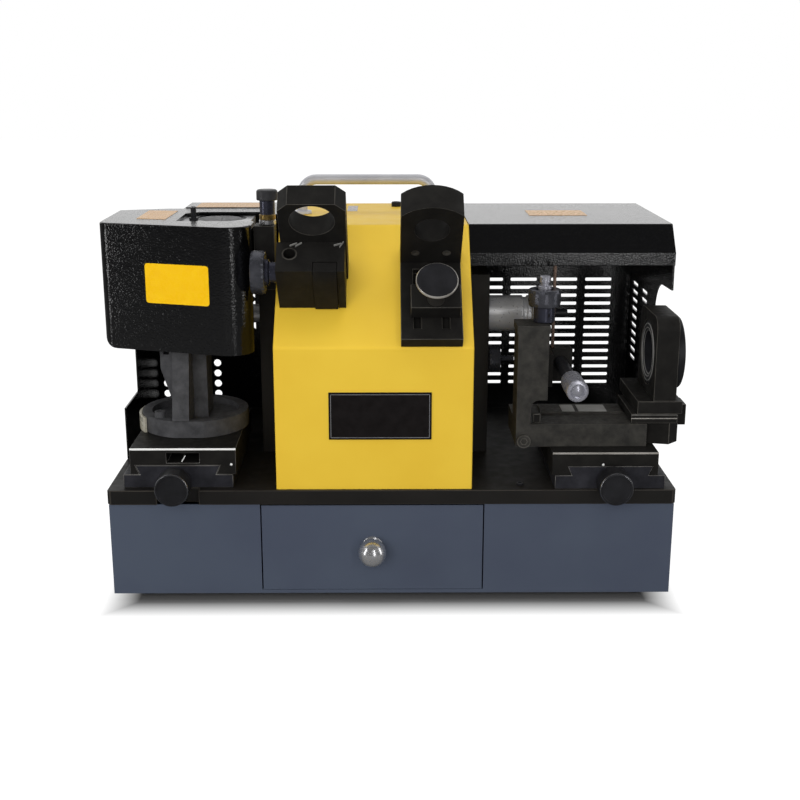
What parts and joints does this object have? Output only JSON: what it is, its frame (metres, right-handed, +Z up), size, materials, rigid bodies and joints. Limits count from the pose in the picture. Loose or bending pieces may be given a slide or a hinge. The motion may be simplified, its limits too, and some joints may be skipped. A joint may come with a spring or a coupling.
{
  "type": "end mill grinder",
  "caption": "Benchtop end mill grinder with a sloped motor cover, hooded grinding wheels, dovetail feed slides, tool setting fixtures and a drawer in its base.",
  "frame": {"origin": "middle of the underside of the bounding box, on the surface that the feet stand on", "axes": "+X to the operator's right, +Y to the back of the machine, +Z up"},
  "size_m": [0.4686, 0.2908, 0.3336],
  "materials": {
    "slate_paint": "fine powder coat",
    "yellow_paint": "semi-gloss powder coat",
    "hammertone": "black hammertone",
    "satin_black": "satin",
    "black_oxide": "black oxide",
    "dark_casting": "machined and blackened",
    "bright_steel": "ground",
    "bright_chrome": "satin chrome",
    "handle_aluminium": "brushed",
    "wheel_body": "turned body with an abrasive rim",
    "copper_blade": "bright",
    "foot_rubber": "matte",
    "black_plastic": "moulded"
  },
  "bodies": {
    "machine": {"base_cabinet": "slate_paint", "foot_front_left": "foot_rubber", "foot_front_right": "foot_rubber", "foot_back_left": "foot_rubber", "foot_back_right": "foot_rubber", "base_plate": "satin_black", "center_cover": "yellow_paint", "rear_panel": "satin_black", "power_inlet": "black_plastic", "switch_housing": "black_plastic", "motor_body": "dark_casting", "left_side_plate": "satin_black", "right_side_plate": "satin_black", "right_hood": "hammertone", "right_side_panel": "hammertone", "right_back_panel": "hammertone", "hood_hinge": "black_oxide", "left_rear_cover": "hammertone", "left_back_panel": "hammertone", "left_side_panel": "hammertone", "left_slide_base": "black_oxide", "right_slide_base": "black_oxide", "left_fixture_block": "black_oxide", "left_fixture_ring": "black_oxide", "latch_block": "black_oxide", "right_fixture_base": "black_oxide", "right_fixture_arch": "black_oxide", "carry_handle": "handle_aluminium"},
    "drawer": {"drawer": "slate_paint", "drawer_knob": "bright_chrome"},
    "rocker": {"switch_rocker": "black_plastic"},
    "spindle": {"spindle_shaft": "bright_steel", "left_grinding_wheel": "wheel_body", "right_grinding_wheel": "wheel_body", "right_wheel_screw": "black_oxide"},
    "side_dial": {"side_dial": "black_oxide"},
    "left_hood": {"left_hood": "hammertone"},
    "left_feed": {"left_feed_knob": "black_oxide"},
    "left_carriage": {"left_carriage": "black_oxide", "swivel_scale": "bright_steel"},
    "left_bracket": {"left_bracket": "dark_casting", "left_seat_plate": "bright_steel"},
    "right_feed": {"right_feed_knob": "black_oxide"},
    "right_carriage": {"right_carriage": "black_oxide", "right_arm": "dark_casting", "seat_base": "bright_steel"},
    "right_seat": {"seat_deck": "dark_casting", "seat_block": "dark_casting", "seat_bush": "black_oxide"},
    "lift_knob": {"lift_knob": "black_oxide"},
    "rest_holder": {"rest_holder": "black_oxide", "micrometer_sleeve": "black_oxide"},
    "thimble": {"micrometer_thimble": "bright_chrome"},
    "tooth_rest": {"tooth_rest_blade": "copper_blade"},
    "finger_knob": {"finger_knob": "black_oxide"},
    "stop_finger": {"stop_finger": "black_oxide"},
    "index_plunger": {"index_plunger": "bright_steel"},
    "fixture_slider": {"fixture_slider": "black_oxide"},
    "slider_knob": {"slider_knob": "black_oxide"}
  },
  "joints": [
    {"name": "drawer_slide", "type": "slide", "parent": "machine", "child": "drawer", "axis": [0, -1, 0], "range_m": [0, 0.15]},
    {"name": "rocker_tilt", "type": "hinge", "parent": "machine", "child": "rocker", "pos_m": [-0.03975, 0.14089, 0.1505], "axis": [-1, 0, 0], "range_deg": [0, 16]},
    {"name": "spindle_turn", "type": "hinge", "parent": "machine", "child": "spindle", "pos_m": [-0.00475, 0.01459, 0.2133], "axis": [1, 0, 0], "continuous": true},
    {"name": "side_dial_turn", "type": "hinge", "parent": "machine", "child": "side_dial", "pos_m": [0.07925, 0.01459, 0.1733], "axis": [1, 0, 0], "range_deg": [-180, 180]},
    {"name": "left_hood_lift", "type": "hinge", "parent": "machine", "child": "left_hood", "pos_m": [-0.14875, 0.04208, 0.298], "axis": [-1, 0, 0], "range_deg": [0, 80]},
    {"name": "left_feed_turn", "type": "hinge", "parent": "machine", "child": "left_feed", "pos_m": [-0.17395, -0.13242, 0.1043], "axis": [0, 1, 0], "range_deg": [-2400, 2880]},
    {"name": "left_carriage_slide", "type": "slide", "parent": "machine", "child": "left_carriage", "axis": [0, 1, 0], "range_m": [-0.01, 0.012]},
    {"name": "left_bracket_swivel", "type": "hinge", "parent": "left_carriage", "child": "left_bracket", "pos_m": [-0.16875, -0.02741, 0.1275], "axis": [0, 0, 1], "range_deg": [-8, 8]},
    {"name": "right_feed_turn", "type": "hinge", "parent": "machine", "child": "right_feed", "pos_m": [0.16775, -0.13242, 0.1043], "axis": [0, 1, 0], "range_deg": [-1920, 2400]},
    {"name": "right_carriage_slide", "type": "slide", "parent": "machine", "child": "right_carriage", "axis": [0, 1, 0], "range_m": [-0.008, 0.01]},
    {"name": "right_seat_swivel", "type": "hinge", "parent": "right_carriage", "child": "right_seat", "pos_m": [0.20625, -0.05242, 0.1517], "axis": [0, 0, 1], "range_deg": [-5, 5]},
    {"name": "lift_knob_turn", "type": "hinge", "parent": "right_carriage", "child": "lift_knob", "pos_m": [0.11575, -0.06842, 0.2227], "axis": [0, 0, 1], "range_deg": [-1800, 1800]},
    {"name": "rest_lift", "type": "slide", "parent": "right_carriage", "child": "rest_holder", "axis": [0, 0, 1], "range_m": [-0.005, 0.005]},
    {"name": "thimble_turn", "type": "hinge", "parent": "rest_holder", "child": "thimble", "pos_m": [0.13245, -0.14541, 0.1858], "axis": [0, 1, 0], "range_deg": [-2160, 2160]},
    {"name": "tooth_rest_slide", "type": "slide", "parent": "rest_holder", "child": "tooth_rest", "axis": [0, 1, 0], "range_m": [-0.003, 0.003]},
    {"name": "finger_knob_turn", "type": "hinge", "parent": "machine", "child": "finger_knob", "pos_m": [-0.10175, -0.08728, 0.26544], "axis": [-1, 0, 0], "range_deg": [-11, 137]},
    {"name": "finger_slide", "type": "slide", "parent": "machine", "child": "stop_finger", "axis": [0, -0.7008, 0.7134], "range_m": [-0.001, 0.012]},
    {"name": "plunger_pull", "type": "slide", "parent": "machine", "child": "index_plunger", "axis": [0, 0, 1], "range_m": [0, 0.008], "stiffness_N_per_m": 400, "springref_m": -0.006},
    {"name": "fixture_slide", "type": "slide", "parent": "machine", "child": "fixture_slider", "axis": [0, 0.7134, 0.7008], "range_m": [-0.015, 0.02]},
    {"name": "slider_knob_turn", "type": "hinge", "parent": "fixture_slider", "child": "slider_knob", "pos_m": [0.0289, -0.10025, 0.24668], "axis": [0, -0.7008, 0.7134], "range_deg": [-90, 90]}
  ],
  "couplings": [
    {"joint": "left_feed_turn", "follows": "left_carriage_slide", "rad_per_m": 4188.8},
    {"joint": "right_feed_turn", "follows": "right_carriage_slide", "rad_per_m": 4188.8},
    {"joint": "lift_knob_turn", "follows": "rest_lift", "rad_per_m": 6283.2},
    {"joint": "tooth_rest_slide", "follows": "thimble_turn", "m_per_rad": 0.000079577},
    {"joint": "finger_slide", "follows": "finger_knob_turn", "m_per_rad": 0.005}
  ]
}
